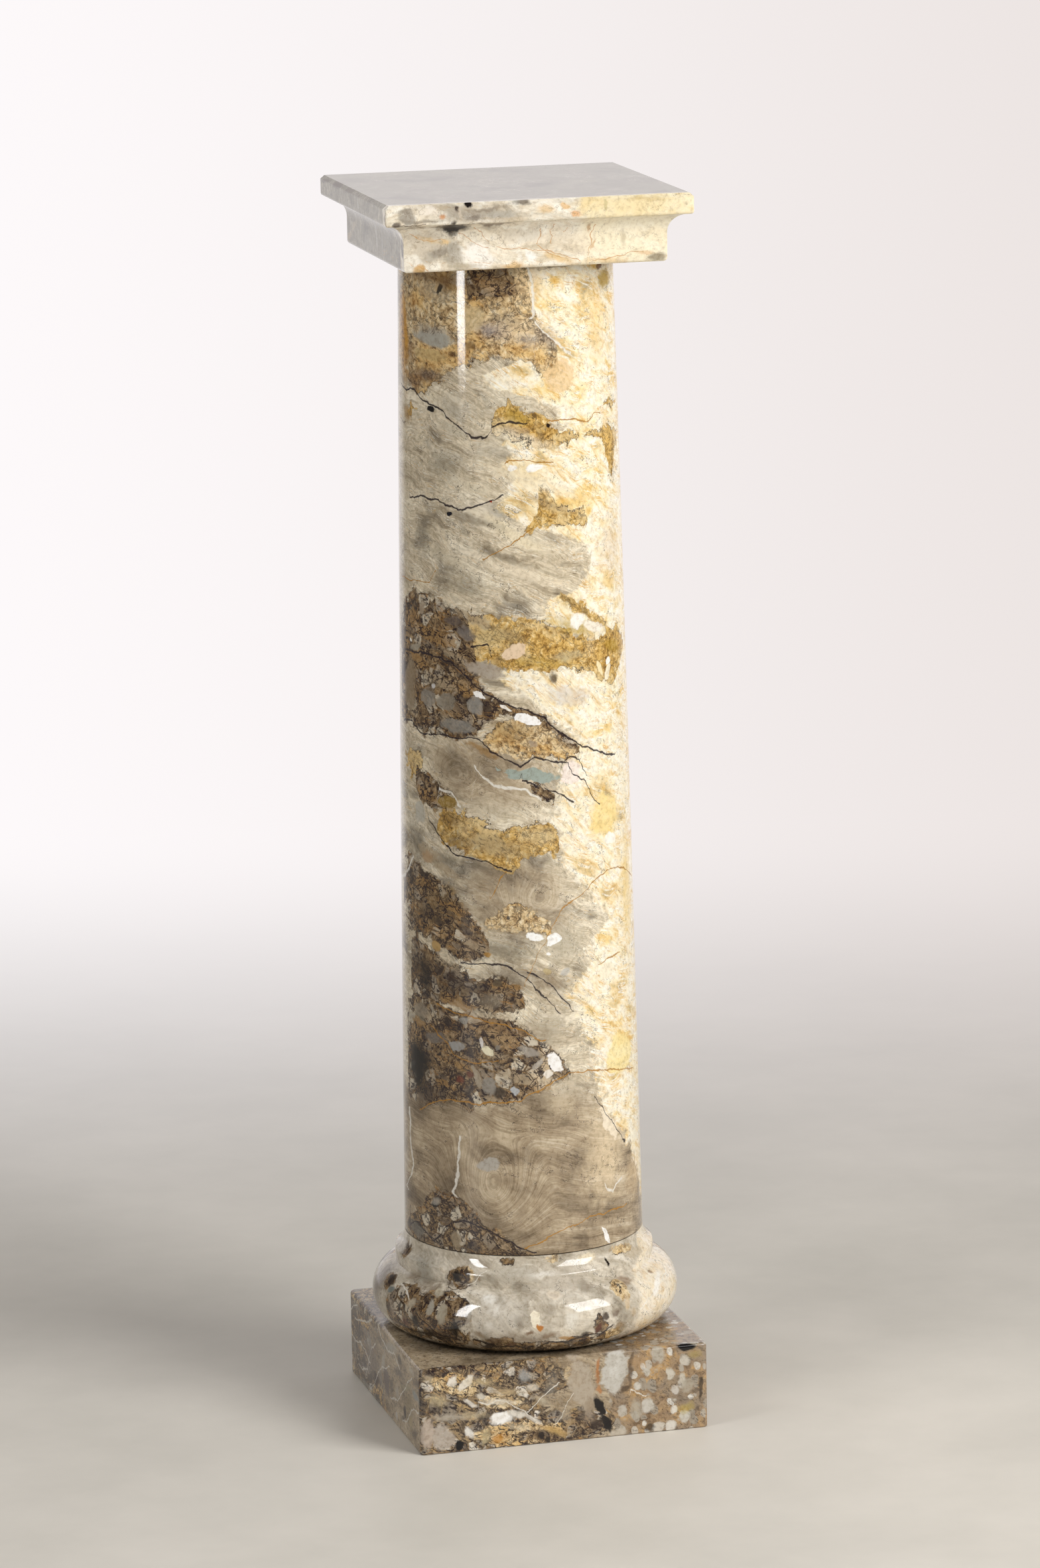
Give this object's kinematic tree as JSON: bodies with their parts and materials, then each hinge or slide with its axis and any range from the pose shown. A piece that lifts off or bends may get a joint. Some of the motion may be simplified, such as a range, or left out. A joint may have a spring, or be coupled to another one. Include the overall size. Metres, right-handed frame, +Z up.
{
  "type": "pedestal column stand",
  "caption": "Stone pedestal: square plinth, turned torus base, tapering round shaft, and a square moulded capital that turns on a hidden pin and carries what is displayed.",
  "frame": {"origin": "middle of the plinth's underside, on the column's axis", "axes": "+Z up along the column; -Y is the plinth's front face, the one the picture shows widest; +X is to its right"},
  "size_m": [0.2724, 0.2724, 1.0866],
  "materials": {
    "plinth_marble": "polished breccia marble, brown grey with pale pebbles",
    "base_marble": "polished breccia marble, cream and greenish grey with dark blotches",
    "shaft_marble": "polished breccia marble, ochre, grey and dark brown bands with purple veins",
    "capital_marble": "polished breccia marble, grey with cream and thin orange veins",
    "iron": "black wrought iron bar",
    "grout": "cast setting plaster",
    "joint_bed": "dark setting mastic with stone dust",
    "brass": "turned brass, dull"
  },
  "bodies": {
    "column": {"plinth": "plinth_marble", "base_moulding": "base_marble", "shaft": "shaft_marble", "base_dowel": "iron", "plinth_dowel_grout": "grout", "shaft_dowel_grout": "grout", "plinth_joint_bed": "joint_bed", "shaft_joint_bed": "joint_bed", "capital_pin": "iron", "capital_pin_grout": "grout", "swivel_washer": "brass"},
    "capital": {"capital": "capital_marble", "capital_bush": "brass"}
  },
  "joints": [
    {"name": "capital_swivel", "type": "hinge", "parent": "column", "child": "capital", "pos_m": [0, 0, 1.0274], "axis": [0, 0, 1], "continuous": true}
  ]
}
